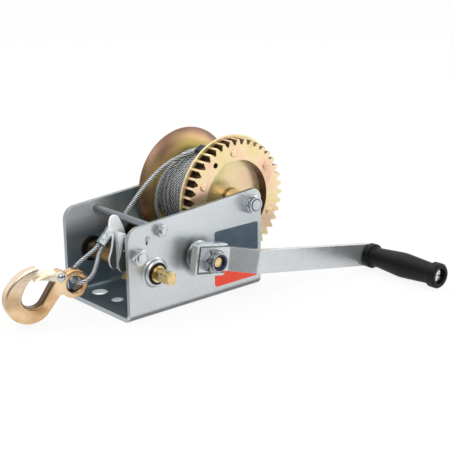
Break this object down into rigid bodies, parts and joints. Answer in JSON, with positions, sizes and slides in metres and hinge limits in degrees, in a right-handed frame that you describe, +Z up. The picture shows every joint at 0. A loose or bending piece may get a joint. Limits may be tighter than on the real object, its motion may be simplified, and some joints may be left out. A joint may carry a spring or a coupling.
{
  "type": "hand winch",
  "caption": "Hand winch with a geared cable drum in a folded steel channel, a crank with a turning grip, a second low gear shaft, a reversing pawl and a wire cable with a latched hook.",
  "frame": {"origin": "centre of the base's underside, between the six bolt holes", "axes": "+X along the side plates towards the drum, +Y from the crank's plate to the plain plate, +Z up"},
  "size_m": [0.3674, 0.2323, 0.1437],
  "materials": {
    "zinc_steel": "satin zinc plate",
    "yellow_zinc": "yellow zinc plate",
    "hook_steel": "forged and yellow plated",
    "bright_steel": "bright zinc plate",
    "dark_steel": "blackened",
    "wire_rope": "galvanised strand",
    "ferrule_metal": "pressed",
    "black_bush": "moulded",
    "blue_nylon": "moulded",
    "black_grip": "moulded"
  },
  "bodies": {
    "base": {"frame": "zinc_steel", "crank_near_bush": "black_bush", "crank_far_bush": "black_bush", "slow_near_bush": "black_bush", "slow_far_bush": "black_bush", "tie_bolt": "bright_steel", "tie_sleeve": "zinc_steel", "tie_nut": "bright_steel", "pawl_bolt": "bright_steel", "pawl_nut": "bright_steel", "pawl_spring": "bright_steel", "axle_bolt": "bright_steel", "axle_sleeve": "zinc_steel", "axle_nut": "bright_steel", "axle_nut_ring": "blue_nylon", "drum_spacers": "zinc_steel", "cable_lead": "wire_rope", "cable_loop": "wire_rope", "cable_tail": "wire_rope", "ferrule": "ferrule_metal"},
    "drum": {"drum_barrel": "yellow_zinc", "near_flange": "yellow_zinc", "far_flange": "yellow_zinc", "drum_gear": "yellow_zinc", "gear_rivets": "bright_steel", "drum_bushes": "black_bush", "cable_core": "wire_rope", "cable_winding": "wire_rope", "cable_clamp": "dark_steel"},
    "crank": {"crank_shaft": "yellow_zinc", "drive_pinion": "yellow_zinc", "middle_gear": "yellow_zinc", "crank_circlip": "bright_steel", "drive_bracket": "zinc_steel", "crank_arm": "zinc_steel", "crank_nut": "bright_steel", "crank_nut_ring": "blue_nylon", "grip_bolt": "bright_steel"},
    "grip": {"hand_grip": "black_grip"},
    "low_gear_shaft": {"slow_shaft": "yellow_zinc", "slow_pinion": "yellow_zinc", "slow_circlip": "bright_steel"},
    "pawl": {"pawl": "zinc_steel"},
    "hook": {"hook": "hook_steel", "latch_rivet": "bright_steel"},
    "latch": {"hook_latch": "yellow_zinc", "latch_spring": "bright_steel"}
  },
  "joints": [
    {"name": "drum_spin", "type": "hinge", "parent": "base", "child": "drum", "pos_m": [0.061, 0, 0.0837], "axis": [0, -1, 0], "continuous": true},
    {"name": "crank_spin", "type": "hinge", "parent": "base", "child": "crank", "pos_m": [0, 0, 0.0464], "axis": [0, -1, 0], "continuous": true},
    {"name": "low_gear_spin", "type": "hinge", "parent": "base", "child": "low_gear_shaft", "pos_m": [-0.04926, 0, 0.0415], "axis": [0, -1, 0], "continuous": true},
    {"name": "grip_spin", "type": "hinge", "parent": "crank", "child": "grip", "pos_m": [0.19105, -0.13, 0.01271], "axis": [0, -1, 0], "continuous": true},
    {"name": "pawl_rock", "type": "hinge", "parent": "base", "child": "pawl", "pos_m": [-0.0676, -0.033, 0.0602], "axis": [0, -1, 0], "range_deg": [-10, 15], "deforming": ["pawl_spring"]},
    {"name": "hook_swing", "type": "hinge", "parent": "base", "child": "hook", "pos_m": [-0.1013, 0.0005, 0.0316], "axis": [0.2079, 0.9781, 0], "range_deg": [0, 65]},
    {"name": "latch_open", "type": "hinge", "parent": "hook", "child": "latch", "pos_m": [-0.11392, 0.00318, 0.0406], "axis": [-0.2079, -0.9781, 0], "range_deg": [0, 36], "stiffness_Nm_per_rad": 0.02, "springref_deg": -22.92, "deforming": ["latch_spring"]}
  ],
  "couplings": [
    {"joint": "crank_spin", "follows": "drum_spin", "ratio": -3.3333},
    {"joint": "low_gear_spin", "follows": "drum_spin", "ratio": 6.6667}
  ]
}
